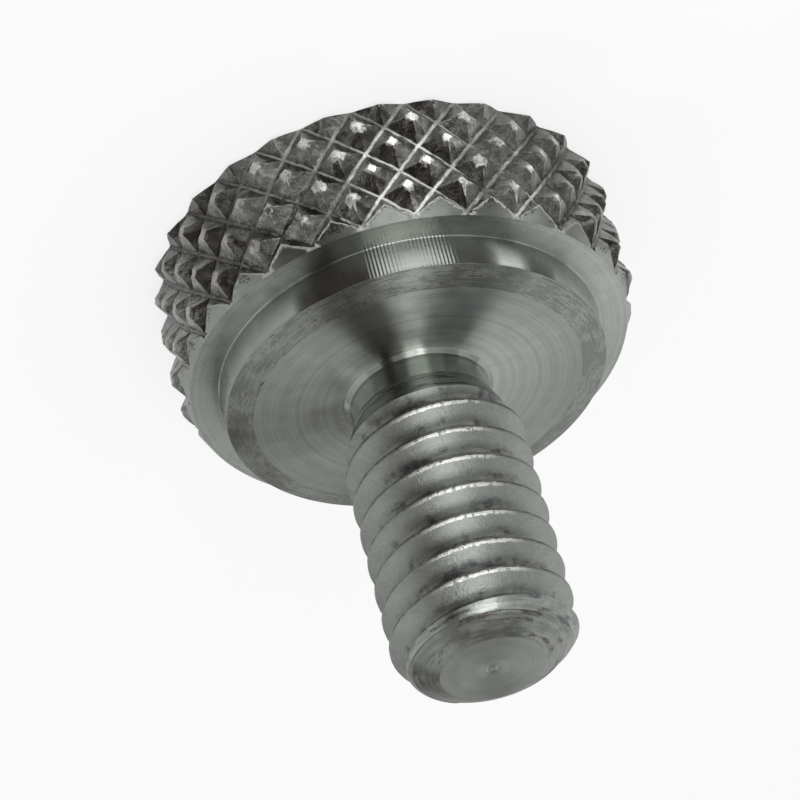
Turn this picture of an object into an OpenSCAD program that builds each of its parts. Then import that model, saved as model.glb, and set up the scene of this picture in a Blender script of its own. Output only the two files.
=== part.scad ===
// Knurled thumb screw, turned from one bar: a diamond-knurled rim, a low boss
// under it, a relieved neck and a short machine thread.
// The screw stands on the outer face of its head and its tip points along +Z.

/* [Head] */
// Diameter over the tips of the knurl
head_d = 9.96; // [9:0.02:12]
// Height of the knurled rim
rim_h = 3.05; // [2.4:0.05:4]
// Height of the bevel round the outer face
outer_bevel_h = 0.15; // [0.1:0.05:0.5]
// Height of the longer bevel round the face on the thread side
inner_bevel_h = 0.6; // [0.3:0.05:0.9]

/* [Knurl] */
// Diamonds in one turn
knurl_count = 27; // [20:1:36]
// Distance along the axis between two tips of one column
knurl_pitch = 1.19; // [0.9:0.01:1.5]
// Depth of the grooves below the tips
knurl_depth = 0.26; // [0.15:0.01:0.35]
// Width of the flat floor of a groove
knurl_groove_w = 0.1; // [0.05:0.01:0.15]
// Width of the flat left on each tip
knurl_tip_w = 0.17; // [0.08:0.01:0.25]
// Height of the lowest row of tips above the outer face
knurl_row_z = 0.585; // [0.4:0.005:0.8]
// Angle of one tip in the lowest row
knurl_clock = 267.9; // [0:0.1:360]
// Turn from one row of tips to the next, beyond half a diamond
knurl_lean = -0.39; // [-1:0.01:1]

/* [Boss] */
// Diameter of the boss
boss_d = 8.14; // [7:0.02:8.6]
// Height of the boss above the rim, up to the bearing face
boss_h = 0.9; // [0.6:0.05:1.4]
// Width of the rough bevel round the bearing face
boss_bevel_w = 0.55; // [0.2:0.05:0.8]
// Height of that bevel
boss_bevel_h = 0.16; // [0.08:0.02:0.3]
// Fillet left by the tool at the foot of the boss
boss_foot = 0.05; // [0.02:0.01:0.1]

/* [Shank] */
// Length from the bearing face to the tip
shank_l = 6.95; // [5:0.05:12]
// Diameter of the plain neck
neck_d = 3.0; // [2.6:0.02:3.04]
// Length of the plain neck
neck_l = 0.57; // [0.3:0.01:1.2]
// Width of the collar left where the neck meets the bearing face
collar_w = 0.1; // [0.04:0.02:0.2]
// Height of that collar
collar_h = 0.08; // [0.04:0.02:0.2]

/* [Thread] */
// Major diameter
thread_d = 3.86; // [3.8:0.01:4.1]
// Pitch
thread_pitch = 0.7; // [0.5:0.05:0.8]
// Length of the taper on which the thread starts
lead_in_l = 0.98; // [0.4:0.02:1.5]
// Angle at which the crest would reach the level of the tip
thread_clock = 88.7; // [0:0.1:360]

/* [Tip] */
// Diameter of the flat end
tip_face_d = 2.2; // [1.6:0.05:2.6]
// Width of the shallow bevel round the flat end
tip_bevel_w = 0.54; // [0.2:0.02:0.7]
// Height of that bevel
tip_bevel_h = 0.28; // [0.1:0.02:0.5]
// Slope of the end chamfer behind it, from the axis
tip_chamfer_angle = 40; // [30:1:60]

/* [Hidden] */
$fn = 96;

// Levels along the axis
bearing_z = rim_h + boss_h;
neck_end_z = bearing_z + neck_l;
thread_full_z = neck_end_z + lead_in_l;
tip_z = bearing_z + shank_l;

// Radii; the bevels of the rim end just below the floor of the knurl
knurl_tip_r = head_d / 2;
knurl_root_r = knurl_tip_r - knurl_depth;
land = 0.02;
face_r = knurl_root_r - land;
boss_r = boss_d / 2;
neck_r = neck_d / 2;

// Metric thread form: 60 degrees, crest flat pitch/8, root flat pitch/4
thread_r = thread_d / 2;
crest_flat = thread_pitch / 8;
root_flat = thread_pitch / 4;
thread_depth = (thread_pitch - crest_flat - root_flat) / 2 / tan(30);
thread_root_r = thread_r - thread_depth;
thread_sides = 36;

// How far the blanks pass the form that trims them
spare = 0.2;

// A quad seen anticlockwise from outside, as two triangles
function two(a, b, c, d) = [[a, c, b], [a, d, c]];

// A fan of triangles from a centre along a row of points
function fan(centre, row) = [for (k = [0:len(row) - 2]) [centre, row[k], row[k + 1]]];

// The same points the other way round
function reverse(row) = [for (k = [len(row) - 1:-1:0]) row[k]];

// A point on a cylinder
function around(r, angle, z) = [r * cos(angle), r * sin(angle), z];

// ---- Knurl: cells of a diamond lattice, row above row ----

half_pitch = knurl_pitch / 2;
half_turn = 180 / knurl_count;
rows_below = 2 * ceil((knurl_row_z + spare) / knurl_pitch);
rows_above = ceil((rim_h - knurl_row_z + spare) / half_pitch);
knurl_rows = rows_below + rows_above + 1;

// Distance between neighbouring grooves of one hand
half_arc = PI * head_d / knurl_count / 2;
groove_gap = 2 * half_arc * half_pitch / sqrt(half_arc * half_arc + half_pitch * half_pitch);
base_reach = 0.5 - knurl_groove_w / groove_gap / 2;
tip_reach = knurl_tip_w / groove_gap / 2;

// Corners of a cell: bottom, right, top, left, as steps along the two grooves
corners = [[-1, -1], [1, -1], [1, 1], [-1, 1]];

// One corner of the cell in this row and column
function cell_point(row, column, corner, reach, r) =
    let (
        a = corner[0] * reach,
        b = corner[1] * reach,
        step = row - rows_below + a + b,
        angle = knurl_clock + (2 * column + row % 2 + a - b) * half_turn + knurl_lean * step
    )
    around(r, angle, knurl_row_z + step * half_pitch);

// Four corners at the groove floor, then four on the tip
function cell_points(row, column) = [
    for (corner = corners) cell_point(row, column, corner, base_reach, knurl_root_r),
    for (corner = corners) cell_point(row, column, corner, tip_reach, knurl_tip_r)
];

// Number of a cell's first point, and columns of the cells up to the right and left
function cell(row, column) =
    8 * (row * knurl_count + (column + knurl_count) % knurl_count);
function right_of(row, column) = column + row % 2;
function left_of(row, column) = column + row % 2 - 1;

// The pyramid of a cell: four flanks and the flat tip
function pyramid(c) = [
    for (k = [0:3]) each two(c + k, c + (k + 1) % 4, c + 4 + (k + 1) % 4, c + 4 + k),
    each two(c + 4, c + 5, c + 6, c + 7)
];

// The groove floors from a cell to the two cells above it
function floors(c, right, left) = concat(
    two(c + 1, right, right + 3, c + 2),
    two(c + 3, c + 2, left + 1, left)
);

// Zigzag ends of the lattice
function lower_edge() = [
    for (column = [0:knurl_count])
        let (c = cell(0, column), next = cell(1, right_of(0, column)))
        each (column < knurl_count ? [c + 3, c, c + 1, next] : [c + 3])
];
function upper_edge() = [
    for (column = [0:knurl_count])
        let (
            row = knurl_rows - 1,
            c = cell(row, column),
            next = cell(row - 1, right_of(row, column))
        )
        each (column < knurl_count ? [c + 3, c + 2, c + 1, next + 2] : [c + 3])
];

// A bar knurled all over, longer than the rim at both ends
module knurl_bar() {
    points = [
        for (row = [0:knurl_rows - 1], column = [0:knurl_count - 1]) each cell_points(row, column)
    ];
    count = len(points);
    low_z = knurl_row_z - rows_below * half_pitch;
    high_z = knurl_row_z + rows_above * half_pitch;
    faces = [
        for (row = [0:knurl_rows - 1], column = [0:knurl_count - 1])
            each pyramid(cell(row, column)),
        for (row = [0:knurl_rows - 2], column = [0:knurl_count - 1])
            each floors(
                cell(row, column),
                cell(row + 1, right_of(row, column)),
                cell(row + 1, left_of(row, column))
            ),
        for (row = [0:knurl_rows - 3], column = [0:knurl_count - 1])
            each two(
                cell(row, column) + 2,
                cell(row + 1, right_of(row, column)) + 3,
                cell(row + 2, column),
                cell(row + 1, left_of(row, column)) + 1
            ),
        each fan(count, lower_edge()),
        each fan(count + 1, reverse(upper_edge()))
    ];
    polyhedron(
        points = concat(points, [[0, 0, low_z], [0, 0, high_z]]),
        faces = faces,
        convexity = 6
    );
}

// The turned rim before knurling, with its two bevels carried past the tips
module rim_blank() {
    outer_run = spare * outer_bevel_h / (knurl_tip_r - face_r);
    inner_run = spare * inner_bevel_h / (knurl_tip_r - face_r);
    rotate_extrude()
        polygon([
            [0, 0],
            [face_r, 0],
            [knurl_tip_r + spare, outer_bevel_h + outer_run],
            [knurl_tip_r + spare, rim_h - inner_bevel_h - inner_run],
            [face_r, rim_h],
            [0, rim_h]
        ]);
}

module rim() {
    intersection() {
        rim_blank();
        knurl_bar();
    }
}

// ---- Boss ----

module boss() {
    rotate_extrude()
        polygon([
            [0, rim_h / 2],
            [boss_r - boss_foot, rim_h / 2],
            [boss_r + boss_foot, rim_h - boss_foot],
            [boss_r + boss_foot, rim_h],
            [boss_r, rim_h + boss_foot],
            [boss_r, bearing_z - boss_bevel_h],
            [boss_r - boss_bevel_w, bearing_z],
            [neck_r + collar_w, bearing_z],
            [neck_r, bearing_z + collar_h],
            [0, bearing_z + collar_h]
        ]);
}

// ---- Thread ----

turns = ceil(shank_l / thread_pitch) + 2;
thread_rows = 4 * turns;
form_z = [-crest_flat / 2, crest_flat / 2, (thread_pitch - root_flat) / 2, (thread_pitch + root_flat) / 2];
form_r = [thread_r, thread_r, thread_root_r, thread_root_r];
thread_base_z = tip_z - (turns - 1) * thread_pitch;

// Point of one side of the rod, counted up the thread form
function thread_point(side, row) = around(
    form_r[row % 4],
    thread_clock + side * 360 / thread_sides,
    thread_base_z + thread_pitch * (side / thread_sides + floor(row / 4)) + form_z[row % 4]
);

// Its number; after a full turn the rows meet those one pitch higher
function thread_at(side, row) =
    side == thread_sides ? row + 4
    : side == 0 ? row
    : thread_rows * side + 4 + row;

// A threaded rod that runs past both ends of the shank
module thread_rod() {
    last = thread_rows - 1;
    points = [
        for (row = [0:last + 4]) thread_point(0, row),
        for (side = [1:thread_sides - 1], row = [0:last]) thread_point(side, row)
    ];
    count = len(points);
    low_edge = [
        for (side = [0:thread_sides]) thread_at(side, 0),
        for (row = [3:-1:0]) thread_at(0, row)
    ];
    high_edge = [
        for (side = [0:thread_sides]) thread_at(side, last),
        for (row = [last + 3:-1:last]) thread_at(0, row)
    ];
    polyhedron(
        points = concat(points, [
            [0, 0, thread_base_z + thread_pitch / 2],
            [0, 0, thread_base_z + (turns + 0.5) * thread_pitch]
        ]),
        faces = [
            for (side = [0:thread_sides - 1], row = [0:last - 1])
                each two(
                    thread_at(side, row),
                    thread_at(side + 1, row),
                    thread_at(side + 1, row + 1),
                    thread_at(side, row + 1)
                ),
            each fan(count, low_edge),
            each fan(count + 1, reverse(high_edge))
        ],
        convexity = 2 * turns
    );
}

// The turned shank: neck, taper, plain length and the bevelled tip
module shank_blank() {
    over_r = thread_r + spare;
    taper = (thread_r - neck_r) / lead_in_l;
    bevel_r = tip_face_d / 2 + tip_bevel_w;
    bevel_z = tip_z - tip_bevel_h;
    rotate_extrude()
        polygon([
            [0, rim_h],
            [neck_r, rim_h],
            [neck_r, neck_end_z],
            [over_r, neck_end_z + (over_r - neck_r) / taper],
            [over_r, bevel_z - (over_r - bevel_r) / tan(tip_chamfer_angle)],
            [bevel_r, bevel_z],
            [tip_face_d / 2, tip_z],
            [0, tip_z]
        ]);
}

module shank() {
    intersection() {
        shank_blank();
        thread_rod();
    }
}

module thumb_screw() {
    color("#8f9791")
        union() {
            rim();
            boss();
            shank();
        }
}

thumb_screw();
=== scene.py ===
"""Builds a knurled thumb screw from its turned, knurled and threaded pieces, with a stage round it"""

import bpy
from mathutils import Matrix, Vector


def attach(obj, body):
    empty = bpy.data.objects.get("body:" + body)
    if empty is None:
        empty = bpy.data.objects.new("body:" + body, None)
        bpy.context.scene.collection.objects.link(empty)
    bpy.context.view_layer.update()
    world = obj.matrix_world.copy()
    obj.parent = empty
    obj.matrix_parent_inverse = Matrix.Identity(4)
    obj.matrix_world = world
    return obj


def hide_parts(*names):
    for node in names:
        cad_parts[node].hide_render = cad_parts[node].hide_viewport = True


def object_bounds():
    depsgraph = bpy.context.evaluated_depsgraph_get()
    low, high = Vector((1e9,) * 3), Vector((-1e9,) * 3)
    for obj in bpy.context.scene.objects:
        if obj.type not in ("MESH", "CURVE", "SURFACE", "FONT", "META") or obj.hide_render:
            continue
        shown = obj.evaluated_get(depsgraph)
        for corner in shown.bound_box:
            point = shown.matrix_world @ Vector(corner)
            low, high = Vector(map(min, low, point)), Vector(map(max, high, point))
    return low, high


bl_info = {
    "name": "Thumb Screw",
    "version": (1, 0, 0),
    "blender": (4, 5, 0),
    "location": "View3D > Sidebar > Thumb Screw",
    "description": "Builds a knurled thumb screw with its turned, knurled and threaded finishes",
    "category": "Add Mesh",
}

import math

import bpy
from bpy.props import FloatProperty, FloatVectorProperty, IntProperty, PointerProperty
from mathutils import Matrix, Vector

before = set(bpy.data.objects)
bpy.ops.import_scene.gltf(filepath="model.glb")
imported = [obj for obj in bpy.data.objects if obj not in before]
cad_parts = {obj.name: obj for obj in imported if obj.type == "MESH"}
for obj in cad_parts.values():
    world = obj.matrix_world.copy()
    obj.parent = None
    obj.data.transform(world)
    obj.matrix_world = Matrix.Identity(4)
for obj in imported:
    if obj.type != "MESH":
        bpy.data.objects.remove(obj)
CAD_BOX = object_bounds()

MM = 0.001
NODE = "thumb_screw"
HEAD_D = CAD_BOX[1][0] - CAD_BOX[0][0]
TIP_Z = CAD_BOX[1][2]

# The blanks stand out past the forms that are cut from them by this much
SPARE = 0.2 * MM
# Points of one surface that lie closer than this are one point
WELD = 0.002 * MM
# Faces meet in a sharp edge where they turn by more than this
SHARP = math.radians(24)
# The side of the screw that faces the camera, on which the tips, burrs and crests get painted highlights
HIGHLIGHT_AT = math.radians(-98)
# The cards and the lamp stand round this point
MIDDLE = (0.0, 0.0, 4.0 * MM)


# ---- Properties ----

def length(name, description, default):
    """A size in metres"""
    return FloatProperty(name=name, description=description, default=default, unit="LENGTH", precision=5)


def turn(name, description, degrees):
    """An angle, given in degrees"""
    return FloatProperty(
        name=name, description=description, default=math.radians(degrees), unit="ROTATION"
    )


def share(name, description, default):
    """A factor from 0 to 1"""
    return FloatProperty(
        name=name, description=description, default=default, min=0.0, max=1.0, subtype="FACTOR"
    )


def colour(name, description, default):
    """A linear colour"""
    return FloatVectorProperty(
        name=name, description=description, default=default, size=3, min=0.0, max=1.0, subtype="COLOR"
    )


class HeadSizes(bpy.types.PropertyGroup):
    """Turned sizes of the knurled rim and the boss"""

    rim_h: length("Rim height", "From the outer face to the ring under the head", 3.05 * MM)
    outer_bevel_h: length("Outer bevel", "Height of the bevel round the outer face", 0.15 * MM)
    inner_bevel_h: length("Inner bevel", "Height of the bevel round the ring", 0.6 * MM)
    boss_d: length("Boss diameter", "Diameter of the boss", 8.14 * MM)
    boss_h: length("Boss height", "From the ring to the bearing face", 0.9 * MM)
    boss_bevel_w: length("Boss bevel width", "Width of the rough bevel", 0.55 * MM)
    boss_bevel_h: length("Boss bevel height", "Height of the rough bevel", 0.16 * MM)
    edge: length("Edge", "Radius of the small rounding on turned edges", 0.02 * MM)


class KnurlSizes(bpy.types.PropertyGroup):
    """The diamond knurl on the rim"""

    count: IntProperty(name="Diamonds", description="Diamonds in one turn", default=27, min=8)
    pitch: length("Pitch", "Between two tips of one column, along the axis", 1.19 * MM)
    depth: length("Depth", "Depth of the grooves below the tips", 0.26 * MM)
    groove_w: length("Groove width", "Width of the groove floor", 0.06 * MM)
    tip_w: length("Tip width", "Width of the flat on each tip", 0.17 * MM)
    row_z: length("First row", "Height of the lowest row of tips", 0.585 * MM)
    clock: turn("Clock", "Angle of one tip in the lowest row", 267.9)
    lean: turn("Lean", "Turn from one row to the next beyond half a diamond", -0.39)
    burr: length("Burr", "Height of the burrs thrown up along the tips", 0.018 * MM)
    wander: length("Wander", "How far the grooves and flanks stray from a true lattice", 0.09 * MM)
    steps: IntProperty(name="Steps", description="Faces across one diamond", default=12, min=6)


class ShankSizes(bpy.types.PropertyGroup):
    """Neck, thread and tip"""

    neck_d: length("Neck diameter", "Diameter of the plain neck", 3.0 * MM)
    neck_l: length("Neck length", "From the bearing face to the taper", 0.57 * MM)
    collar: length("Collar", "Size of the collar at the foot of the neck", 0.09 * MM)
    thread_d: length("Thread diameter", "Major diameter", 3.86 * MM)
    pitch: length("Pitch", "Pitch of the thread", 0.7 * MM)
    lead_in_l: length("Taper length", "Length of the taper on which the thread starts", 0.98 * MM)
    clock: turn("Clock", "Angle at which the crest would reach the level of the tip", 88.7)
    burr: length("Burr", "Height of the burr on the crest", 0.012 * MM)
    tip_face_d: length("End diameter", "Diameter of the flat end", 2.2 * MM)
    tip_bevel_w: length("End bevel width", "Width of the shallow bevel round the end", 0.54 * MM)
    tip_bevel_h: length("End bevel height", "Height of that bevel", 0.28 * MM)
    chamfer: turn("Chamfer", "Slope of the end chamfer from the axis", 40.0)
    sides: IntProperty(name="Sides", description="Faces round the thread", default=160, min=24)


class Finishes(bpy.types.PropertyGroup):
    """Colours of the bare steel"""

    steel: colour("Steel", "Turned steel", (0.37, 0.395, 0.365))
    dull: colour("Dull steel", "Rough and mottled steel", (0.33, 0.35, 0.325))
    flank: colour("Knurl flank", "Pressed flanks of the knurl", (0.25, 0.255, 0.235))
    # Partly real burnish, partly a painted highlight: the masks lay it on far more strongly on the side
    # facing the camera
    burnish_and_highlight: colour("Burnished", "Tips, burrs and crests rubbed bright", (0.85, 0.85, 0.82))
    grime: colour("Grime", "Oil and dust left in the grooves", (0.045, 0.034, 0.03))
    # A plain darker colour for the thread's root, laid on in soft patches
    root_dark: colour("Oil", "Oil drawn into the root of the thread", (0.06, 0.058, 0.07))
    smear: colour("Smear", "Oil smeared over the first turn of the thread", (0.07, 0.065, 0.075))
    # A plain darker colour laid along the thread's crest
    crest_dark: colour("Fold", "Metal folded over on the crest", (0.09, 0.088, 0.08))
    stain: colour("Stain", "Brown stain on the bevel of the tip", (0.075, 0.06, 0.05))
    tarnish: colour("Tarnish", "Bluish stain on the taper and the chamfer", (0.06, 0.06, 0.075))
    rough: share("Roughness", "Roughness of the turned faces", 0.31)


class StageSettings(bpy.types.PropertyGroup):
    """Floor, lamps and camera"""

    floor: colour("Floor", "Colour of the floor", (0.92, 0.92, 0.92))
    lamp_w: FloatProperty(name="Lamp", description="Power of the lamp in watts", default=0.018)
    lens: FloatProperty(name="Lens", description="Focal length in millimetres", default=180.4)
    aim: FloatVectorProperty(
        name="Aim", description="Point the camera looks at", size=3, unit="LENGTH",
        default=(0.412 * MM, 0.022 * MM, 3.93 * MM),
    )
    distance: length("Distance", "From the camera to the aim", 83.75 * MM)
    elevation: turn("Elevation", "Height of the camera over the horizon", 35.82)
    roll: turn("Roll", "Turn of the camera about its line of sight", 165.02)


GROUPS = {
    "screw_head": HeadSizes,
    "screw_knurl": KnurlSizes,
    "screw_shank": ShankSizes,
    "screw_finish": Finishes,
    "screw_stage": StageSettings,
}


# ---- Node trees ----

class Flow:
    """A value in a node tree, so that a formula made of nodes reads as one"""

    def __init__(self, tree, socket):
        self.tree = tree
        self.socket = socket

    def do(self, operation, *others):
        """One Math node on this value and the others"""
        node = self.tree.nodes.new("ShaderNodeMath")
        node.operation = operation
        for slot, value in zip(node.inputs, (self, *others)):
            feed(self.tree, value, slot)
        return Flow(self.tree, node.outputs[0])

    def __add__(self, other):
        return self.do("ADD", other)

    def __sub__(self, other):
        return self.do("SUBTRACT", other)

    def __mul__(self, other):
        return self.do("MULTIPLY", other)

    def __truediv__(self, other):
        return self.do("DIVIDE", other)

    def near(self):
        """Distance to the nearest whole number"""
        return (self - self.do("ROUND")).do("ABSOLUTE")

    def ramp(self, low, high, start=0.0, end=1.0, smooth=False):
        """From start at low to end at high, held beyond them"""
        node = self.tree.nodes.new("ShaderNodeMapRange")
        node.interpolation_type = "SMOOTHSTEP" if smooth else "LINEAR"
        for slot, value in zip(node.inputs, (self, low, high, start, end)):
            feed(self.tree, value, slot)
        return Flow(self.tree, node.outputs[0])


def feed(tree, value, slot):
    """Links a Flow or a socket into a slot, or sets a plain value there"""
    if isinstance(value, Flow):
        value = value.socket
    if isinstance(value, bpy.types.NodeSocket):
        tree.links.new(value, slot)
    elif value is not None:
        slot.default_value = value


def add(tree, kind, inputs=None, **settings):
    """A node with its settings, and its inputs by name or number"""
    node = tree.nodes.new(kind)
    for key, value in settings.items():
        setattr(node, key, value)
    for key, value in (inputs or {}).items():
        feed(tree, value, node.inputs[key])
    return node


def made(tree, kind, inputs=None, **settings):
    """The first output of a new node"""
    return add(tree, kind, inputs, **settings).outputs[0]


def parts_of(tree, vector):
    """The three parts of a vector"""
    node = add(tree, "ShaderNodeSeparateXYZ", {0: vector})
    return [Flow(tree, socket) for socket in node.outputs]


def vector_of(tree, x=0.0, y=0.0, z=0.0):
    """A vector of three values"""
    return made(tree, "ShaderNodeCombineXYZ", {0: x, 1: y, 2: z})


def places(tree):
    """The three parts of each point's position"""
    return parts_of(tree, made(tree, "GeometryNodeInputPosition"))


def on_cylinder(tree, radius, angle, height):
    """The point at this radius, angle and height"""
    return vector_of(tree, radius * angle.do("COSINE"), radius * angle.do("SINE"), height)


def geometry_tree(name, sizes):
    """An empty geometry tree with a named input for each size, and those inputs as Flows"""
    tree = bpy.data.node_groups.new(name, "GeometryNodeTree")
    interface = tree.interface
    interface.new_socket(name="Blank", in_out="INPUT", socket_type="NodeSocketGeometry")
    for label, value in sizes.items():
        kind = "NodeSocketInt" if isinstance(value, int) else "NodeSocketFloat"
        interface.new_socket(name=label, in_out="INPUT", socket_type=kind).default_value = value
    interface.new_socket(name="Part", in_out="OUTPUT", socket_type="NodeSocketGeometry")
    entry = tree.nodes.new("NodeGroupInput")
    return tree, entry.outputs["Blank"], [Flow(tree, entry.outputs[label]) for label in sizes]


def capped(tree, shell, middle):
    """Closes both open ends of a shell with fans to its axis, level with its lowest and highest points"""
    faces_beside = made(tree, "GeometryNodeInputMeshEdgeNeighbors")
    open_edge = made(
        tree, "FunctionNodeCompare", {2: faces_beside, 3: 1}, data_type="INT", operation="EQUAL"
    )
    grown = add(
        tree, "GeometryNodeExtrudeMesh",
        {"Mesh": shell, "Selection": open_edge, "Offset Scale": 0.0}, mode="EDGES",
    )
    height = places(tree)[2]
    ends = add(tree, "GeometryNodeAttributeStatistic", {0: shell, 2: height}, data_type="FLOAT")
    upper = (height - middle).do("GREATER_THAN", 0.0)
    level = Flow(tree, ends.outputs["Min"]) + (Flow(tree, ends.outputs["Range"]) * upper)
    closed = moved(tree, grown.outputs["Mesh"], vector_of(tree, z=level), grown.outputs["Top"])
    return welded(tree, closed, 0.0001 * MM)


def welded(tree, surface, distance=WELD):
    """The surface with its double points merged"""
    return made(tree, "GeometryNodeMergeByDistance", {"Geometry": surface, "Distance": distance})


def moved(tree, surface, position, chosen=None):
    """The surface with its points, or the chosen ones, at new positions"""
    return made(
        tree, "GeometryNodeSetPosition",
        {"Geometry": surface, "Position": position, "Selection": chosen},
    )


def cut_in(tree, blank, bar, finish):
    """Ends a tree: cuts the bar's form into the blank, with the bar's own finish on its faces"""
    marked = made(tree, "GeometryNodeSetMaterial", {"Geometry": bar, "Material": finish})
    cut = add(tree, "GeometryNodeMeshBoolean", operation="INTERSECT", solver="EXACT")
    tree.links.new(blank, cut.inputs[1])
    tree.links.new(marked, cut.inputs[1])
    real = made(tree, "GeometryNodeRealizeInstances", {0: cut.outputs[0]})
    from_bar = made(tree, "GeometryNodeMaterialSelection", {"Material": finish})
    finished = made(
        tree, "GeometryNodeSetMaterial",
        {"Geometry": real, "Selection": from_bar, "Material": finish},
    )
    out = tree.nodes.new("NodeGroupOutput")
    tree.links.new(finished, out.inputs[0])


def settled(piece, tree):
    """Runs a geometry tree on a piece, keeps the result as its mesh and removes the modifier"""
    modifier = piece.modifiers.new("Form", "NODES")
    modifier.node_group = tree
    for item in tree.interface.items_tree:
        if item.in_out == "INPUT" and item.socket_type != "NodeSocketGeometry":
            modifier[item.identifier] = item.default_value
    graph = bpy.context.evaluated_depsgraph_get()
    result = bpy.data.meshes.new_from_object(piece.evaluated_get(graph))
    if not result.polygons:
        raise RuntimeError(f"{piece.name} came out with no faces")
    piece.modifiers.remove(modifier)
    blank = piece.data
    piece.data = result
    bpy.data.meshes.remove(blank)
    result.name = piece.name
    shade(piece)


def shade(piece):
    """Smooth faces, with sharp edges where they turn"""
    for face in piece.data.polygons:
        face.use_smooth = True
    piece.data.set_sharp_from_angle(angle=SHARP)


# ---- Turned forms ----

def eased(outline, radius):
    """The outline with each corner off the axis rounded; a corner is (r, z, finish of the next face)"""
    steps = 3
    points = []
    for i, (r, z, finish) in enumerate(outline):
        if i in (0, len(outline) - 1):
            points.append((r, z, finish))
            continue
        here = Vector((r, z))
        before = Vector(outline[i - 1][:2]) - here
        after = Vector(outline[i + 1][:2]) - here
        reach = min(radius, before.length / 2.5, after.length / 2.5)
        start = here + before.normalized() * reach
        end = here + after.normalized() * reach
        for k in range(steps + 1):
            t = k / steps
            spot = start.lerp(here, t).lerp(here.lerp(end, t), t)
            points.append((spot.x, spot.y, finish if 2 * k >= steps else outline[i - 1][2]))
    return points


def turned(name, outline, finishes, sides=256):
    """A closed solid of revolution from an outline that starts and ends on the axis"""
    rings = outline[1:-1]
    points = [(0.0, 0.0, outline[0][1]), (0.0, 0.0, outline[-1][1])]
    for r, z, _ in rings:
        points += [
            (r * math.cos(math.tau * k / sides), r * math.sin(math.tau * k / sides), z)
            for k in range(sides)
        ]
    faces = []
    slots = []
    for k in range(sides):
        after = (k + 1) % sides
        faces.append((0, 2 + after, 2 + k))
        slots.append(outline[0][2])
        for j in range(len(rings) - 1):
            low = 2 + j * sides
            faces.append((low + k, low + after, low + sides + after, low + sides + k))
            slots.append(rings[j][2])
        last = 2 + (len(rings) - 1) * sides
        faces.append((1, last + k, last + after))
        slots.append(rings[-1][2])
    mesh = bpy.data.meshes.new(name)
    mesh.from_pydata(points, [], faces)
    for finish in finishes:
        mesh.materials.append(finish)
    mesh.polygons.foreach_set("material_index", slots)
    piece = bpy.data.objects.new(name, mesh)
    bpy.context.scene.collection.objects.link(piece)
    return piece


def belongs(piece):
    """The piece stands for the CAD solid and rides with it"""
    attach(piece, "root")
    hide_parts(NODE)


# ---- Finishes ----

def metal(name):
    """A steel material: its tree, its shader and its Object coordinates"""
    material = bpy.data.materials.new(name)
    material.use_nodes = True
    tree = material.node_tree
    shader = tree.nodes["Principled BSDF"]
    shader.inputs["Metallic"].default_value = 1.0
    place = add(tree, "ShaderNodeTexCoord").outputs["Object"]
    return material, tree, shader, place


def noise(tree, vector, size, detail, dimensions="3D"):
    """Noise from 0 to 1 whose blotches are about this size in metres"""
    node = add(
        tree, "ShaderNodeTexNoise", {"Vector": vector, "Scale": 1.0 / size, "Detail": detail},
        noise_dimensions=dimensions,
    )
    return Flow(tree, node.outputs[0])


def blend(tree, factor, first, second):
    """A colour between two"""
    node = add(tree, "ShaderNodeMix", {0: factor}, data_type="RGBA")
    for slot, value in ((6, first), (7, second)):
        feed(tree, value if isinstance(value, bpy.types.NodeSocket) else (*value, 1.0), node.inputs[slot])
    return node.outputs[2]


def relief(tree, height, depth, below=None):
    """A bump of this depth in metres, on top of another one"""
    node = add(tree, "ShaderNodeBump", {"Height": height, "Distance": depth, "Strength": 1.0})
    if below is not None:
        tree.links.new(below, node.inputs["Normal"])
    return node.outputs[0]


def polar(tree, place):
    """Radius, angle and height of a point"""
    x, y, z = parts_of(tree, place)
    radius = (x * x + y * y).do("SQRT")
    return radius, y.do("ARCTAN2", x), z


def brushed(tree, shader, anisotropy):
    """Grooves that run round the axis, so that light fans out across them"""
    shader.inputs["Anisotropic"].default_value = anisotropy
    shader.inputs["Anisotropic Rotation"].default_value = 0.25
    tangent = made(tree, "ShaderNodeTangent", direction_type="RADIAL", axis="Z")
    feed(tree, tangent, shader.inputs["Tangent"])


def dress(tree, shader, base, rough, normal):
    """Feeds a shader its colour, its roughness and its bump"""
    feed(tree, base, shader.inputs["Base Color"])
    feed(tree, rough, shader.inputs["Roughness"])
    feed(tree, normal, shader.inputs["Normal"])


def highlight_side(angle, full, none):
    """1 on the side of the screw where highlights are painted, falling to 0 round it; reaches in degrees"""
    off = (angle - HIGHLIGHT_AT).do("ABSOLUTE")
    return off.ramp(math.radians(none), math.radians(full), smooth=True)


def shaded(tone, factor):
    """A colour made darker or lighter by a factor"""
    return tuple(min(1.0, factor * part) for part in tone)


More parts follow.
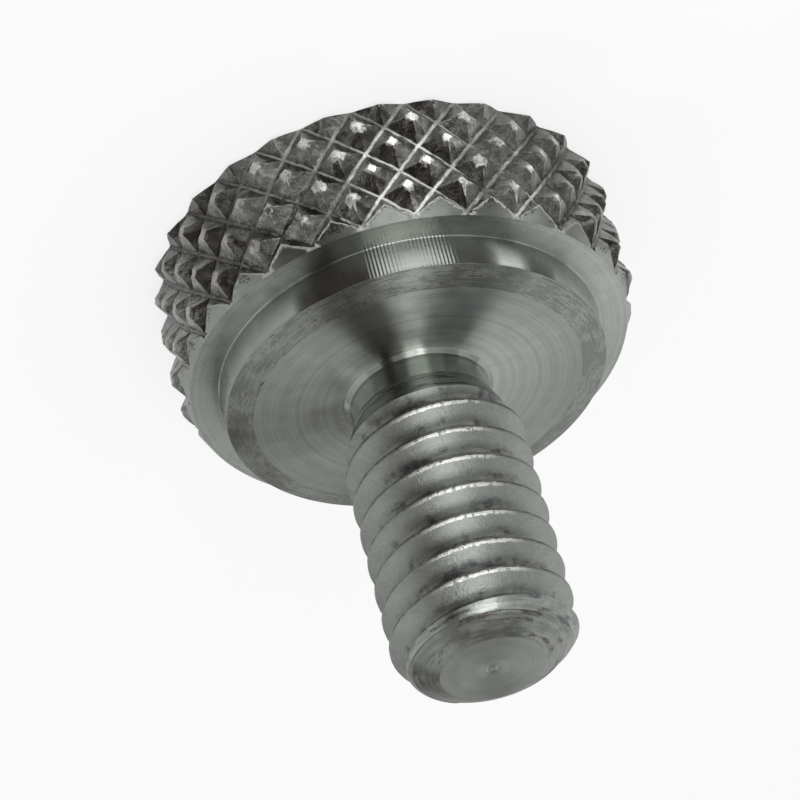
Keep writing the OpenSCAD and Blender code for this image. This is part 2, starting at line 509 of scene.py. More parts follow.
def turned_steel(name, tone, rough, lines, anisotropy=1.0, chatter=0.0, dish=0.0, soil=None, fade=None):
    """Steel with the fine rings that a lathe tool leaves

    Lines is the rings' depth, chatter that of the marks across them, and dish tilts them outwards.
    Soil and fade are pairs of radii, between which the face gets dirtier and duller.
    """
    material, tree, shader, place = metal(name)
    radius, angle, z = polar(tree, place)
    across = vector_of(tree, radius, z)
    rings = noise(tree, across, 0.02 * MM, 6.0, "2D")
    broad = noise(tree, across, 0.12 * MM, 2.0, "2D")
    mottle = noise(tree, place, 0.5 * MM, 5.0)
    specks = noise(tree, place, 0.05 * MM, 4.0)
    pick = (rings * 0.35 + mottle * 0.4 + broad * 0.25).ramp(0.35, 0.68, smooth=True)
    base = blend(tree, pick, shaded(tone, 0.78), shaded(tone, 1.1))
    base = blend(tree, specks.ramp(0.66, 0.76) * 0.5, base, shaded(tone, 0.4))
    if soil:
        coat = (specks * 0.5 + mottle * 0.6 + radius.ramp(*soil, 0.0, 0.3)).ramp(0.66, 0.78, smooth=True)
        base = blend(tree, coat * 0.8, base, shaded(tone, 0.22))
    haze = mottle.ramp(0.3, 0.7, rough * 0.92, rough * 1.1)
    if fade:
        haze = haze * radius.ramp(*fade, 1.0, 1.7)
    brushed(tree, shader, anisotropy)
    normal = relief(tree, broad, lines * 2.0, relief(tree, rings, lines))
    if chatter:
        marks_in_turn = 330.0
        ripple = (angle * marks_in_turn).do("SINE") * 0.5 + 0.5
        normal = relief(tree, ripple * highlight_side(angle, 9.0, 15.0), chatter, normal)
    if dish:
        normal = relief(tree, radius * -1.0, dish, normal)
    dress(tree, shader, base, haze, normal)
    return material


def rough_steel(name, tone, grime):
    """Steel torn by the tool: scored round the axis, speckled and dull"""
    material, tree, shader, place = metal(name)
    radius, angle, z = polar(tree, place)
    blotch = noise(tree, place, 0.6 * MM, 5.0)
    grain = noise(tree, place, 0.045 * MM, 4.0)
    scores = noise(tree, vector_of(tree, radius, z, angle * 0.0003), 0.035 * MM, 5.0)
    mix = scores * 0.6 + blotch * 0.45 + grain * 0.15
    base = blend(tree, mix.ramp(0.52, 0.68, smooth=True), shaded(tone, 0.62), shaded(tone, 1.1))
    base = blend(tree, (scores + grain * 0.5).ramp(0.82, 0.95) * 0.75, base, grime)
    brushed(tree, shader, 0.95)
    normal = relief(tree, grain, 0.0012 * MM, relief(tree, scores, 0.005 * MM))
    dress(tree, shader, base, blotch.ramp(0.3, 0.7, 0.357, 0.462), normal)
    return material


def dull_steel(name, tone, stain, rough=0.46, anisotropy=0.3):
    """Dull steel with soft marks that follow the turning, and stains drawn out along them"""
    material, tree, shader, place = metal(name)
    radius, angle, z = polar(tree, place)
    blotch = noise(tree, place, 0.35 * MM, 5.0)
    grain = noise(tree, place, 0.05 * MM, 4.0)
    marks = noise(tree, vector_of(tree, radius, z, angle * 0.0001), 0.05 * MM, 4.0)
    smear = noise(tree, vector_of(tree, radius, z, angle * 0.00028), 0.14 * MM, 5.0)
    mix = marks * 0.45 + blotch * 0.5 + grain * 0.15
    base = blend(tree, mix.ramp(0.44, 0.66, smooth=True), shaded(tone, 0.68), shaded(tone, 1.08))
    stained = (smear + (blotch - 0.5) * 0.35).ramp(0.54, 0.66, smooth=True)
    base = blend(tree, stained * grain.ramp(0.7, 0.4, 0.45, 0.85), base, stain)
    brushed(tree, shader, anisotropy)
    coarse = relief(tree, blotch, 0.01 * MM, relief(tree, marks, 0.003 * MM))
    normal = relief(tree, grain, 0.002 * MM, coarse)
    dress(tree, shader, base, blotch.ramp(0.3, 0.7, rough * 0.85, rough * 1.15), normal)
    return material


def lattice_at(tree, angle, z, knurl):
    """Places of a point on the knurl's lattice, counted in diamonds along its two hands"""
    row = (z - knurl.row_z) / (knurl.pitch / 2)
    column = (angle - knurl.clock - row * knurl.lean) / (math.pi / knurl.count)
    return (row + column) * 0.5, (row - column) * 0.5


def burrs_and_glint(material, knurl, finish):
    """Adds the burrs that stand where a turned bevel cut the knurl off, painted bright as a highlight that
    is strongest on the side facing the camera
    """
    tree = material.node_tree
    shader = tree.nodes["Principled BSDF"]
    colour_in, rough_in, normal_in = [shader.inputs[key] for key in ("Base Color", "Roughness", "Normal")]
    place = add(tree, "ShaderNodeTexCoord").outputs["Object"]
    radius, angle, z = polar(tree, place)
    along, across = lattice_at(tree, angle, z, knurl)
    base_reach, tip_reach = knurl_reach(knurl)
    rise = along.near().do("MAXIMUM", across.near()).ramp(base_reach, tip_reach, 0.0, knurl.depth)
    gap = rise - radius + (HEAD_D / 2 - knurl.depth)
    rag = noise(tree, place, 0.07 * MM, 4.0) + noise(tree, place, 0.25 * MM, 3.0)
    # The burrs' bright colour is a painted highlight, laid on mostly on the side facing the camera
    lip = (gap + (rag - 1.0) * 0.16 * MM).ramp(0.055 * MM, 0.03 * MM, smooth=True)
    lip = lip * highlight_side(angle, 24.0, 60.0).ramp(0.0, 1.0, 0.12, 1.0) * rag.ramp(0.8, 1.05, 0.45, 1.0)
    feed(tree, blend(tree, lip, colour_in.links[0].from_socket, finish.burnish_and_highlight), colour_in)
    feed(tree, Flow(tree, rough_in.links[0].from_socket) + lip * 0.15, rough_in)
    feed(tree, relief(tree, lip * rag, 0.05 * MM, normal_in.links[0].from_socket), normal_in)
    return material


def knurled_steel(name, knurl, finish):
    """Pressed flanks, scored groove floors and burnished tips, placed by the knurl's own lattice, with
    painted highlights on the tips, ridges and groove floors on the side facing the camera
    """
    material, tree, shader, place = metal(name)
    radius, angle, z = polar(tree, place)
    along, across = lattice_at(tree, angle, z, knurl)
    off_a = along.near()
    off_b = across.near()
    spread = off_a.do("MAXIMUM", off_b)
    base_reach, tip_reach = knurl_reach(knurl)

    grain = noise(tree, place, 0.05 * MM, 5.0)
    dents = noise(tree, place, 0.13 * MM, 3.0)
    blotch = noise(tree, place, 0.3 * MM, 4.0)
    cell = add(
        tree, "ShaderNodeTexWhiteNoise",
        {"Vector": vector_of(tree, along.do("ROUND"), across.do("ROUND"))}, noise_dimensions="2D",
    )
    tone = Flow(tree, cell.outputs["Value"])
    scored = noise(tree, vector_of(tree, along * 0.04, across * 0.04, radius), 0.0011, 4.0)

    # Groove floors: a painted highlight on the side facing the camera, stronger in the grooves of one hand
    # than in those of the other, and darker away from that side
    ragged = (grain + dents) * 0.05 - 0.05
    right_hand = (off_b + ragged).ramp(base_reach - 0.035, base_reach, smooth=True)
    left_hand = (off_a + ragged).ramp(base_reach - 0.01, base_reach + 0.02, smooth=True)
    floor = right_hand.do("MAXIMUM", left_hand * 0.55)
    lit = highlight_side(angle, 16.0, 50.0)
    # The groove floors are painted darker away from the side facing the camera
    dark_floor = (spread + ragged).ramp(base_reach - 0.06, base_reach, smooth=True)
    dark_floor = dark_floor * lit.ramp(0.0, 0.7, 0.75, 0.0)
    floor = floor * (grain * 0.6 + blotch).ramp(0.66, 0.9, 1.0, 0.15) * lit

    # Tips and the ridges that run down from them are burnished in ragged patches, and carry a painted
    # highlight that is much stronger on the side facing the camera
    uneven = dents * 0.36 + tone * 0.06 - 0.21
    round_off = (off_a * off_a + off_b * off_b).do("SQRT")
    tip = (round_off + uneven).ramp(tip_reach + 0.075, tip_reach + 0.025, smooth=True)
    ridge = ((off_a - off_b).do("ABSOLUTE") + (grain - 0.5) * 0.07).ramp(0.03, 0.012, smooth=True)
    ridge = ridge * (dents + blotch * 0.5).ramp(0.74, 0.84) * spread.ramp(0.34, 0.2)
    tip = tip * lit.ramp(0.0, 1.0, 0.3, 1.0)
    ridge = ridge * lit.ramp(0.0, 1.0, 0.5, 1.0)
    bright = tip.do("MAXIMUM", ridge * 0.7) * grain.ramp(0.64, 0.5, 0.35, 1.0)

    # The colour of the painted highlight on the groove floors: the steel lightened towards the bright
    # colour
    sheen_and_tilt = tuple(0.55 * a + 0.45 * b for a, b in zip(finish.steel, finish.burnish_and_highlight))
    base = blend(
        tree, (blotch * 0.35 + dents * 0.25 + grain * 0.35 + tone * 0.05).ramp(0.4, 0.6, smooth=True),
        shaded(finish.flank, 0.55), shaded(finish.flank, 1.25),
    )
    base = blend(tree, (grain + blotch).ramp(1.2, 1.36) * 0.8, base, finish.grime)
    base = blend(tree, dark_floor, base, finish.grime)
    base = blend(tree, floor, base, sheen_and_tilt)
    base = blend(tree, bright, base, finish.burnish_and_highlight)

    rough = grain.ramp(0.3, 0.7, 0.14, 0.25) + floor * 0.18 + bright * 0.3
    normal = None
    for height, depth in ((blotch, 0.016), (scored, 0.005), (dents, 0.007), (grain, 0.004)):
        normal = relief(tree, height, depth * MM, normal)
    dress(tree, shader, base, rough, normal)
    return material


def threaded_steel(name, shank, finish):
    """Matte flanks with a crest whose burr carries a painted highlight on the side facing the camera"""
    material, tree, shader, place = metal(name)
    radius, angle, z = polar(tree, place)
    lap = (z - TIP_Z) / shank.pitch - (angle - shank.clock) / math.tau
    beyond = lap - lap.do("ROUND")
    beside = beyond.do("ABSOLUTE")
    grain = noise(tree, place, 0.035 * MM, 5.0)
    blotch = noise(tree, place, 0.4 * MM, 5.0)
    drawn = noise(tree, vector_of(tree, angle * 0.0006, lap * 0.0007), 0.04 * MM, 5.0, "2D")
    broken = noise(tree, vector_of(tree, angle * 0.0019, lap * 0.0005), 0.1 * MM, 4.0, "2D")

    # Flanks: satin grey, with the root darker in soft patches
    base = blend(
        tree, (blotch * 0.5 + grain * 0.3 + drawn * 0.2).ramp(0.4, 0.62, smooth=True),
        shaded(finish.dull, 0.84), shaded(finish.dull, 1.06),
    )
    root = (beside + (drawn - 0.5) * 0.2).ramp(0.2, 0.42, smooth=True)
    root_dark = root * (blotch * 0.9 + drawn * 0.2).ramp(0.54, 0.7, smooth=True)
    base = blend(tree, root_dark * 0.75, base, finish.root_dark)
    first_turn = z.ramp(5.5 * MM, 4.9 * MM) * (blotch + drawn * 0.4).ramp(0.6, 0.8, smooth=True)
    base = blend(tree, first_turn * 0.7, base, finish.smear)

    # The crest is darker along its middle, and the edge of its burr carries a painted highlight on the side
    # facing the camera
    lit = highlight_side(angle, 16.0, 36.0)
    crest = ((beyond + 0.012).do("ABSOLUTE") + (grain - 0.5) * 0.05).ramp(0.055, 0.03, smooth=True)
    base = blend(tree, crest * (drawn + blotch).ramp(0.8, 1.1, 0.2, 0.8), base, finish.crest_dark)
    burr_glint = ((beyond - 0.05).do("ABSOLUTE") + (grain + drawn - 1.0) * 0.06).ramp(0.052, 0.03, smooth=True)
    burr_glint = burr_glint * lit * (broken + grain * 0.3).ramp(0.44, 0.62, smooth=True)
    base = blend(tree, burr_glint, base, finish.burnish_and_highlight)
    brushed(tree, shader, 0.5)
    sheen_and_tilt = relief(tree, radius * -1.0, 0.34, relief(tree, drawn, 0.005 * MM))
    ragged = relief(tree, broken * crest, 0.02 * MM, sheen_and_tilt)
    normal = relief(tree, grain, 0.008 * MM, ragged)
    dress(tree, shader, base, blotch.ramp(0.3, 0.7, 0.38, 0.48), normal)
    return material


def plain_light(name, tone, strength):
    """A card that glows with one colour"""
    material = bpy.data.materials.new(name)
    material.use_nodes = True
    tree = material.node_tree
    tree.nodes.clear()
    glow = add(tree, "ShaderNodeEmission", {"Color": (*tone, 1.0), "Strength": strength})
    out = tree.nodes.new("ShaderNodeOutputMaterial")
    tree.links.new(glow.outputs[0], out.inputs["Surface"])
    return material


# ---- The knurled rim ----

def knurl_reach(knurl):
    """Half widths of a pyramid's base and tip, as shares of the way between two grooves"""
    half_arc = math.pi * HEAD_D / knurl.count / 2
    half_pitch = knurl.pitch / 2
    groove_gap = 2 * half_arc * half_pitch / math.hypot(half_arc, half_pitch)
    return 0.5 - knurl.groove_w / groove_gap / 2, knurl.tip_w / groove_gap / 2


def knurl_tree(knurl, rim_h, finish):
    """Geometry nodes: diamonds on a lattice, wrapped round the bar and cut into the turned blank"""
    base_reach, tip_reach = knurl_reach(knurl)
    tree, blank, flows = geometry_tree("Diamond Knurl", {
        "Diamonds": knurl.count,
        "Pitch": knurl.pitch,
        "Tip Radius": HEAD_D / 2,
        "Depth": knurl.depth,
        "Base Reach": base_reach,
        "Tip Reach": tip_reach,
        "First Row": knurl.row_z,
        "Rim Height": rim_h,
        "Clock": knurl.clock,
        "Lean": knurl.lean,
        "Burr": knurl.burr,
        "Wander": knurl.wander,
        "Steps": knurl.steps,
        "Seed": 0,
    })
    diamonds, pitch, tip_r, depth, base_at, tip_at, row_z, rim, clock, lean = flows[:10]
    burr, wander, steps, seed = flows[10:]
    half_pitch = pitch * 0.5

    # One diamond in lattice steps; the mesh lines at these shares of it go to the edges of its flanks
    tip_line = 2 / 12
    base_line = 5 / 12
    side = steps + 1.0
    patch = made(tree, "GeometryNodeMeshGrid", {0: 1.0, 1: 1.0, 2: side, 3: side})

    def on_edges(step):
        """Moves the mesh lines from even steps to the edges of the tip and of the groove floor"""
        off = step.do("ABSOLUTE")
        off = (
            off.ramp(0.0, tip_line, 0.0, tip_at)
            + off.ramp(tip_line, base_line, 0.0, base_at - tip_at)
            + off.ramp(base_line, 0.5, 0.0, base_at * -1.0 + 0.5)
        )
        return off * step.do("SIGN")

    across, up, _ = places(tree)
    patch = made(
        tree, "GeometryNodeStoreNamedAttribute",
        {"Geometry": patch, "Name": "diamond", "Value": vector_of(tree, on_edges(across), on_edges(up))},
        data_type="FLOAT_VECTOR", domain="POINT",
    )
    inside = add(tree, "GeometryNodeInputNamedAttribute", {"Name": "diamond"}, data_type="FLOAT_VECTOR")
    step_a, step_b, _ = parts_of(tree, inside.outputs[0])
    patch = moved(tree, patch, vector_of(tree, step_a - step_b, step_a + step_b))

    # The faces are split along the ridges, not across them
    alike = (step_a * step_b).do("GREATER_THAN", 0.0)
    patch = made(tree, "GeometryNodeTriangulate", {"Mesh": patch, "Selection": alike}, quad_method="FIXED")
    patch = made(tree, "GeometryNodeTriangulate", {"Mesh": patch}, quad_method="FIXED_ALTERNATE")

    # The lattice: whole columns round, and rows from below the outer face to above the ring
    below = (row_z / pitch + 0.2).do("CEIL") * 2.0
    above = ((rim - row_z) / half_pitch + 0.4).do("CEIL")
    rows = below + above + 1.0
    lattice = made(tree, "GeometryNodeMeshGrid", {0: diamonds - 1.0, 1: rows - 1.0, 2: diamonds, 3: rows})
    x, y, _ = places(tree)
    column = (x + (diamonds - 1.0) * 0.5).do("ROUND")
    row = (y + (rows - 1.0) * 0.5).do("ROUND")
    lattice = moved(tree, lattice, vector_of(tree, column * 2.0 + row.do("FLOORED_MODULO", 2.0), row))
    cells = made(tree, "GeometryNodeInstanceOnPoints", {"Points": lattice, "Instance": patch})
    sheet = made(tree, "GeometryNodeRealizeInstances", {0: cells})

    # Height over the groove floor, with burrs where the metal was thrown up round each tip
    turn_steps, row_steps, _ = places(tree)
    spread = step_a.do("ABSOLUTE").do("MAXIMUM", step_b.do("ABSOLUTE"))
    rise = spread.ramp(base_at, tip_at, 0.0, depth)
    ragged = noise(tree, vector_of(tree, turn_steps, row_steps, seed), 1 / 2.6, 3.0)
    lip = (spread - tip_at).do("ABSOLUTE").ramp(0.0, 0.05, 1.0, 0.0)
    rise = rise + lip * (ragged - 0.62) * burr * 2.0
    level = row_steps - below
    angle = clock + turn_steps / diamonds * math.pi + level * lean
    height = row_z + level * half_pitch
    drift = add(
        tree, "ShaderNodeTexNoise",
        {"Vector": on_cylinder(tree, tip_r, angle, height + seed), "Scale": 3400.0, "Detail": 2.0},
    )
    drift_a, drift_b, dent = parts_of(tree, drift.outputs["Color"])
    angle = angle + (drift_a - 0.5) * wander / tip_r
    height = height + (drift_b - 0.5) * wander
    rise = rise + (dent - 0.5) * wander
    sheet = moved(tree, sheet, on_cylinder(tree, tip_r - depth + rise, angle, height))
    cut_in(tree, blank, capped(tree, welded(tree, sheet), rim * 0.5), finish)
    return tree


class SCREW_OT_rim(bpy.types.Operator):
    """Adds the knurled rim with its bevels and the turned ring under the head"""

    bl_idname = "screw.rim"
    bl_label = "Knurled Rim"

    def execute(self, context):
        scene = context.scene
        head = scene.screw_head
        knurl = scene.screw_knurl
        finish = scene.screw_finish
        tip_r = HEAD_D / 2
        face_r = tip_r - knurl.depth - 0.02 * MM
        bevel_w = tip_r - face_r
        outer_run = SPARE * head.outer_bevel_h / bevel_w
        inner_run = SPARE * head.inner_bevel_h / bevel_w
        faces = [
            turned_steel("Turned ring", shaded(finish.steel, 1.15), finish.rough * 0.9, 0.0012 * MM),
            burrs_and_glint(
                turned_steel(
                    "Turned bevel", finish.steel, finish.rough * 1.15, 0.002 * MM, 0.95,
                    soil=(face_r, tip_r),
                ),
                knurl, finish,
            ),
        ]
        outline = [
            (0.0, 0.0, 0),
            (face_r, 0.0, 1),
            (tip_r + SPARE, head.outer_bevel_h + outer_run, 1),
            (tip_r + SPARE, head.rim_h - head.inner_bevel_h - inner_run, 1),
            (face_r, head.rim_h, 0),
            (0.0, head.rim_h, 0),
        ]
        piece = turned("knurled_rim", outline, faces)
        settled(piece, knurl_tree(knurl, head.rim_h, knurled_steel("Knurled steel", knurl, finish)))
        belongs(piece)
        return {"FINISHED"}


# ---- The boss ----

class SCREW_OT_boss(bpy.types.Operator):
    """Adds the boss with its chattered side, rough bevel and bearing face"""

    bl_idname = "screw.boss"
    bl_label = "Boss"

    def execute(self, context):
        scene = context.scene
        head = scene.screw_head
        shank = scene.screw_shank
        finish = scene.screw_finish
        boss_r = head.boss_d / 2
        neck_r = shank.neck_d / 2
        low = head.rim_h
        top = low + head.boss_h
        # The fillet at its foot
        foot = 0.03 * MM
        faces = [
            turned_steel(
                "Bearing face", finish.steel, finish.rough * 0.85, 0.0006 * MM,
                dish=0.2, fade=(neck_r, boss_r),
            ),
            turned_steel(
                "Chattered side", finish.steel, finish.rough * 0.8, 0.0008 * MM, chatter=0.003 * MM
            ),
            rough_steel("Rough bevel", finish.dull, finish.grime),
        ]
        outline = [
            (0.0, low / 2, 0),
            (boss_r - foot, low / 2, 0),
            (boss_r + foot, low - foot, 0),
            (boss_r + foot, low, 1),
            (boss_r, low + foot, 1),
            (boss_r, top - head.boss_bevel_h, 2),
            (boss_r - head.boss_bevel_w, top, 0),
            (neck_r + shank.collar, top, 0),
            (neck_r, top + shank.collar, 0),
            (neck_r * 0.8, top + shank.collar, 0),
            (0.0, top + shank.collar, 0),
        ]
        piece = turned("boss", eased(outline, head.edge), faces)
        shade(piece)
        belongs(piece)
        return {"FINISHED"}


# ---- The shank ----

def thread_tree(shank, finish, bearing_z):
    """Geometry nodes: a threaded rod, cut into the turned shank"""
    tree, blank, flows = geometry_tree("Machine Thread", {
        "Pitch": shank.pitch,
        "Major Radius": shank.thread_d / 2,
        "Tip Height": TIP_Z,
        "Clock": shank.clock,
        "Turns": math.ceil((TIP_Z - bearing_z) / shank.pitch) + 3,
        "Sides": shank.sides,
        "Burr": shank.burr,
        "Seed": 0,
    })
    pitch, major_r, tip_z, clock, turns, sides, burr, seed = flows

    # Where the crest's flat ends and the root's begins, in pitches from the crest, with mesh lines for both
    crest_at = 1 / 16
    root_at = 1 / 2 - 1 / 8
    per_turn = 20
    crest_line = 1 / per_turn
    root_line = 8 / per_turn

    rod = made(
        tree, "GeometryNodeMeshGrid", {0: 1.0, 1: turns, 2: sides + 1.0, 3: turns * per_turn + 1.0}
    )
    x, y, _ = places(tree)
    lap = y - turns * 0.5 + 1.0
    whole = lap.do("ROUND")
    even = (lap - whole).do("ABSOLUTE")
    off = (
        even.ramp(0.0, crest_line, 0.0, crest_at)
        + even.ramp(crest_line, root_line, 0.0, root_at - crest_at)
        + even.ramp(root_line, 0.5, 0.0, 0.5 - root_at)
    )
    spin = x + 0.5
    lap = whole + off * (lap - whole).do("SIGN")

    # Straight flanks of 60 degrees run into a rounded root of the same depth
    slope = 1 / math.tan(math.radians(30))
    straight = 2 * root_at - 0.5
    bend = off.ramp(straight, 0.5, 0.0, 0.5 - straight)
    fall = off.ramp(crest_at, straight, 0.0, (straight - crest_at) * slope)
    fall = fall + bend * slope - bend * bend * (slope / 2 / (0.5 - straight))

    # The crest's edge carries a ragged burr, drawn out along the thread
    track = (spin + lap.do("ROUND")) * math.tau
    ragged = noise(tree, vector_of(tree, track, seed), 1 / 7.0, 4.0)
    lip = (off - crest_at).do("ABSOLUTE").ramp(0.0, 0.06, 1.0, 0.0)
    radius = major_r - fall * pitch - lip * ragged.ramp(0.4, 0.75, 0.0, burr)
    angle = clock + spin * math.tau
    rod = moved(tree, rod, on_cylinder(tree, radius, angle, tip_z + (lap + spin) * pitch))
    cut_in(tree, blank, capped(tree, welded(tree, rod), tip_z - turns * pitch * 0.5), finish)
    return tree


class SCREW_OT_shank(bpy.types.Operator):
    """Adds the neck, the thread and the bevelled tip"""

    bl_idname = "screw.shank"
    bl_label = "Shank"

    def execute(self, context):
        scene = context.scene
        head = scene.screw_head
        shank = scene.screw_shank
        finish = scene.screw_finish
        neck_r = shank.neck_d / 2
        thread_r = shank.thread_d / 2
        bearing_z = head.rim_h + head.boss_h
        neck_end = bearing_z + shank.neck_l
        over_r = thread_r + SPARE
        taper_run = (over_r - neck_r) * shank.lead_in_l / (thread_r - neck_r)
        end_r = shank.tip_face_d / 2
        bevel_r = end_r + shank.tip_bevel_w
        bevel_z = TIP_Z - shank.tip_bevel_h
        faces = [
            # The neck gets a lighter copy of the steel: painted light that makes up for the shade the
            # thread casts on it
            turned_steel("Turned neck", shaded(finish.steel, 1.5), finish.rough * 0.6, 0.0004 * MM),
            turned_steel("Turned end", finish.dull, finish.rough * 1.2, 0.002 * MM, 0.5),
            dull_steel("Dull bevel", shaded(finish.dull, 0.9), finish.stain),
            dull_steel("Taper and chamfer", finish.dull, finish.tarnish, 0.34, 0.4),
        ]
        # The tool left a pip at the middle of the end, and a score round the edge of its bevel
        pip = 0.15 * MM
        score = 0.025 * MM
        outline = [
            (0.0, head.rim_h, 0),
            (neck_r, head.rim_h, 0),
            (neck_r, neck_end, 3),
            (over_r, neck_end + taper_run, 3),
            (over_r, bevel_z - (over_r - bevel_r) / math.tan(shank.chamfer), 3),
            (bevel_r, bevel_z, 3),
            (bevel_r - score, bevel_z - score / 2, 2),
            (bevel_r - 2 * score, bevel_z + score / 2, 2),
            (end_r, TIP_Z, 1),
            (pip, TIP_Z, 1),
            (pip * 0.75, TIP_Z - pip * 0.05, 1),
            (pip * 0.5, TIP_Z - pip * 0.02, 1),
            (0.0, TIP_Z - pip * 0.02, 1),
        ]
        piece = turned("shank", eased(outline, head.edge), faces, 160)
        settled(piece, thread_tree(shank, threaded_steel("Thread steel", shank, finish), bearing_z))
        belongs(piece)
        return {"FINISHED"}


# ---- Stage ----

def reflector(name, points, faces, material):
    """A card that shows only in reflections"""
    mesh = bpy.data.meshes.new(name)
    mesh.from_pydata(points, [], faces)
    mesh.materials.append(material)
    piece = bpy.data.objects.new(name, mesh)
    bpy.context.scene.collection.objects.link(piece)
    piece.visible_camera = False
    piece.visible_shadow = False
    piece.visible_diffuse = False


def strip(name, turns, edges, centre, material):
    """A card bent round a centre between two azimuths; each edge is an elevation and a distance"""
    steps = 12
    points = []
    for k in range(steps + 1):
        azimuth = turns[0] + (turns[1] - turns[0]) * k / steps
        points += [around(azimuth, rise, distance, centre) for rise, distance in edges]
    faces = [(2 * k, 2 * k + 2, 2 * k + 3, 2 * k + 1) for k in range(steps)]
    reflector(name, points, faces, material)


def bent_card(name, turns, rises, distance, material):
    """A card that stands round the screw between two azimuths and two elevations in degrees"""
    strip(name, turns, [(rise, distance) for rise in rises], MIDDLE, material)


def floor_card(name, turns, reach, material):
    """A card that lies on the floor between two azimuths in degrees and two distances from the axis"""
    strip(name, turns, [(0.0, far) for far in reach], (0.0, 0.0, 0.03 * MM), material)


def curtain(name, turns, rises, elevation, material):
    """A card in the directions to which the grooves between two angles throw the camera's view

    Rises go from 0 at the horizon to 1 where all such bands meet, behind and above the screw.
    """
    distance = 104 * MM
    across = 6
    up = 18
    points = []
    for i in range(across + 1):
        angle = math.radians(turns[0] + (turns[1] - turns[0]) * i / across)
        outward = Vector((math.cos(angle), math.sin(angle), 0.0))
        groove = Vector((-math.sin(angle), math.cos(angle), 0.0))
        lean = math.cos(elevation) * math.cos(angle)
        spread = math.sqrt(1.0 - lean * lean)
        meet = math.atan2(math.sin(elevation), math.cos(elevation) * math.sin(angle))
        for j in range(up + 1):
            rise = meet * (rises[0] + (rises[1] - rises[0]) * j / up)
            aim = outward * math.cos(rise) + Vector((0.0, 0.0, math.sin(rise)))
            points.append((groove * lean + aim * spread) * distance + Vector(MIDDLE))
    row = up + 1
    faces = [
        (i * row + j, (i + 1) * row + j, (i + 1) * row + j + 1, i * row + j + 1)
        for i in range(across) for j in range(up)
    ]
    reflector(name, points, faces, material)


def lamp(name, power, size, centre):
    """A soft lamp of this width and length that shines on the middle of the screw"""
    data = bpy.data.lights.new(name, "AREA")
    data.energy = power
    data.shape = "RECTANGLE"
    data.size, data.size_y = size
    piece = bpy.data.objects.new(name, data)
    bpy.context.scene.collection.objects.link(piece)
    aim = (Vector(MIDDLE) - Vector(centre)).to_track_quat("-Z", "Y")
    piece.matrix_world = Matrix.Translation(centre) @ aim.to_matrix().to_4x4()


def around(azimuth, elevation, distance, target):
    """A point seen from the target at this azimuth and elevation in degrees; azimuth 0 is -Y, 90 is +X"""
    turn_angle = math.radians(azimuth)
    rise = math.radians(elevation)
    flat = math.cos(rise) * distance
    return Vector(target) + Vector(
        (math.sin(turn_angle) * flat, -math.cos(turn_angle) * flat, math.sin(rise) * distance)
    )


def add_world(scene):
    """A white world, a little weaker on dull surfaces than in reflections and behind the screw"""
    world = bpy.data.worlds.new("Studio")
    scene.world = world
    world.use_nodes = True
    tree = world.node_tree
    tree.nodes.clear()
    path = add(tree, "ShaderNodeLightPath").outputs
    seen = Flow(tree, path["Is Camera Ray"]).do("MAXIMUM", path["Is Glossy Ray"])
    seen = seen.do("MAXIMUM", path["Is Transmission Ray"])
    sky = add(
        tree, "ShaderNodeBackground",
        {"Color": (1.0, 1.0, 1.0, 1.0), "Strength": seen.ramp(0.0, 1.0, 0.75, 1.0)},
    )
    out = tree.nodes.new("ShaderNodeOutputWorld")
    tree.links.new(sky.outputs[0], out.inputs[0])


def add_floor(scene, tone):
    """A pale floor just clear of the head's outer face, lightened for the camera so that it stays pale"""
    reach = 0.6
    low = -0.02 * MM
    mesh = bpy.data.meshes.new("floor")
    mesh.from_pydata(
        [(-reach, -reach, low), (reach, -reach, low), (reach, reach, low), (-reach, reach, low)],
        [], [(0, 1, 2, 3)],
    )
    floor = bpy.data.objects.new("floor", mesh)
    scene.collection.objects.link(floor)
    paper = bpy.data.materials.new("Paper")
    paper.use_nodes = True
    tree = paper.node_tree
    body = tree.nodes["Principled BSDF"]
    body.inputs["Base Color"].default_value = (*tone, 1.0)
    body.inputs["Roughness"].default_value = 0.9
    glow = add(tree, "ShaderNodeEmission", {"Color": (1.0, 1.0, 1.0, 1.0), "Strength": 1.0})
    watched = add(tree, "ShaderNodeLightPath").outputs["Is Camera Ray"]
    lightened = Flow(tree, watched) * 0.78
    mixed = add(tree, "ShaderNodeMixShader", {0: lightened, 1: body.outputs[0], 2: glow.outputs[0]})
    tree.links.new(mixed.outputs[0], tree.nodes["Material Output"].inputs["Surface"])
    mesh.materials.append(paper)


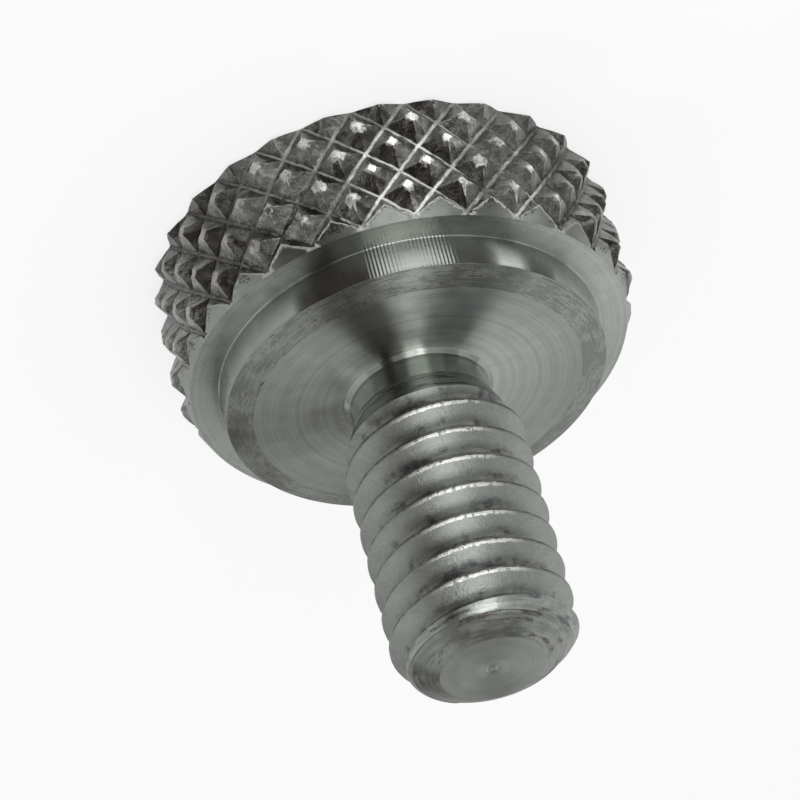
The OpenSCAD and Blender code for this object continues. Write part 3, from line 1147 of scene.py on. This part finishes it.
def add_cards(elevation):
    """The cards that the turned faces, the knurl and the thread reflect as dark and bright bands"""
    black = plain_light("Black card", (0.05, 0.03, 0.028), 1.0)
    navy = plain_light("Navy card", (0.03, 0.04, 0.055), 1.0)
    dark = plain_light("Dark card", (0.15, 0.14, 0.13), 1.0)
    grey = plain_light("Grey card", (0.38, 0.39, 0.37), 1.0)
    pale = plain_light("Bright card", (1.0, 1.0, 1.0), 2.0)
    white = plain_light("White card", (1.0, 1.0, 1.0), 1.4)

    for part, turns, material in (
        ("right", (229, 240), navy), ("inner", (240, 249), black), ("edge", (249, 256), dark),
    ):
        curtain(f"curtain_{part}_low", turns, (0.01, 0.28), elevation, material)
        curtain(f"curtain_{part}_high", turns, (0.5, 0.99), elevation, material)
    curtain("curtain_front", (256, 274.5), (0.01, 0.26), elevation, grey)
    curtain("curtain_roof", (256, 274.5), (0.45, 0.99), elevation, black)
    curtain("curtain_left", (274.5, 293), (0.01, 0.99), elevation, black)
    curtain("curtain_behind_right", (234, 252), (1.01, 1.22), elevation, dark)
    curtain("curtain_behind", (254, 274), (1.01, 1.5), elevation, dark)
    curtain("curtain_behind_left", (274.5, 293), (1.01, 1.22), elevation, black)

    bent_card("front_high", (-16, 28), (40, 52), 84 * MM, white)
    bent_card("front_left", (5, 70), (3, 36), 90 * MM, black)
    bent_card("front_right", (-50, 5), (3, 36), 90 * MM, grey)
    bent_card("side_left", (70, 125), (0, 20), 90 * MM, grey)
    bent_card("side_right", (-110, -54), (0, 18), 90 * MM, black)
    bent_card("back_left", (136, 170), (6, 54), 90 * MM, dark)

    far = 120 * MM
    floor_card("floor_left", (7, 46), (6.6 * MM, far), black)
    floor_card("floor_middle", (-29, 0), (5.8 * MM, 14 * MM), pale)
    floor_card("floor_gap", (-53, -31), (6.6 * MM, far), dark)
    floor_card("floor_spot", (-67, -54), (5.8 * MM, far), pale)
    floor_card("floor_right", (-86, -70), (6.6 * MM, far), dark)


def add_camera(scene, stage):
    """The camera, looking down on the screw and rolled so that the tip points down in its view"""
    data = bpy.data.cameras.new("Camera")
    data.lens = stage.lens
    data.sensor_width = 36.0
    data.clip_start = 0.001
    camera = bpy.data.objects.new("Camera", data)
    scene.collection.objects.link(camera)
    pitched = Matrix.Rotation(math.pi / 2 - stage.elevation, 4, "X")
    rolled = pitched @ Matrix.Rotation(stage.roll, 4, "Z")
    back = rolled.to_3x3() @ Vector((0.0, 0.0, 1.0))
    camera.matrix_world = Matrix.Translation(Vector(stage.aim) + back * stage.distance) @ rolled
    scene.camera = camera


class SCREW_OT_stage(bpy.types.Operator):
    """Adds the world, the floor, the lamp, the cards and the camera"""

    bl_idname = "screw.stage"
    bl_label = "Stage"

    def execute(self, context):
        scene = context.scene
        stage = scene.screw_stage
        scene.view_settings.view_transform = "Standard"
        add_world(scene)
        add_floor(scene, stage.floor)
        lamp("Overhead", stage.lamp_w, (30 * MM, 44 * MM), (-12 * MM, -50 * MM, 74 * MM))
        add_cards(stage.elevation)
        add_camera(scene, stage)
        return {"FINISHED"}


class SCREW_PT_panel(bpy.types.Panel):
    """Lists the pieces of the screw in the sidebar"""

    bl_idname = "SCREW_PT_panel"
    bl_label = "Thumb Screw"
    bl_space_type = "VIEW_3D"
    bl_region_type = "UI"
    bl_category = "Thumb Screw"

    def draw(self, context):
        for operator in OPERATORS:
            self.layout.operator(operator.bl_idname)
        for name in GROUPS:
            group = getattr(context.scene, name)
            box = self.layout.box()
            for key in group.__annotations__:
                box.prop(group, key)


OPERATORS = (SCREW_OT_rim, SCREW_OT_boss, SCREW_OT_shank, SCREW_OT_stage)
CLASSES = (*GROUPS.values(), *OPERATORS, SCREW_PT_panel)


def register():
    """Registers the classes and hangs the settings on the scene"""
    for item in CLASSES:
        bpy.utils.register_class(item)
    for name, group in GROUPS.items():
        setattr(bpy.types.Scene, name, PointerProperty(type=group))


def unregister():
    """Takes the settings off the scene and the classes out of Blender"""
    for name in GROUPS:
        delattr(bpy.types.Scene, name)
    for item in reversed(CLASSES):
        bpy.utils.unregister_class(item)


def main():
    """Builds every piece and the stage"""
    register()
    bpy.ops.screw.rim()
    bpy.ops.screw.boss()
    bpy.ops.screw.shank()
    bpy.ops.screw.stage()


if __name__ == "__main__":
    main()
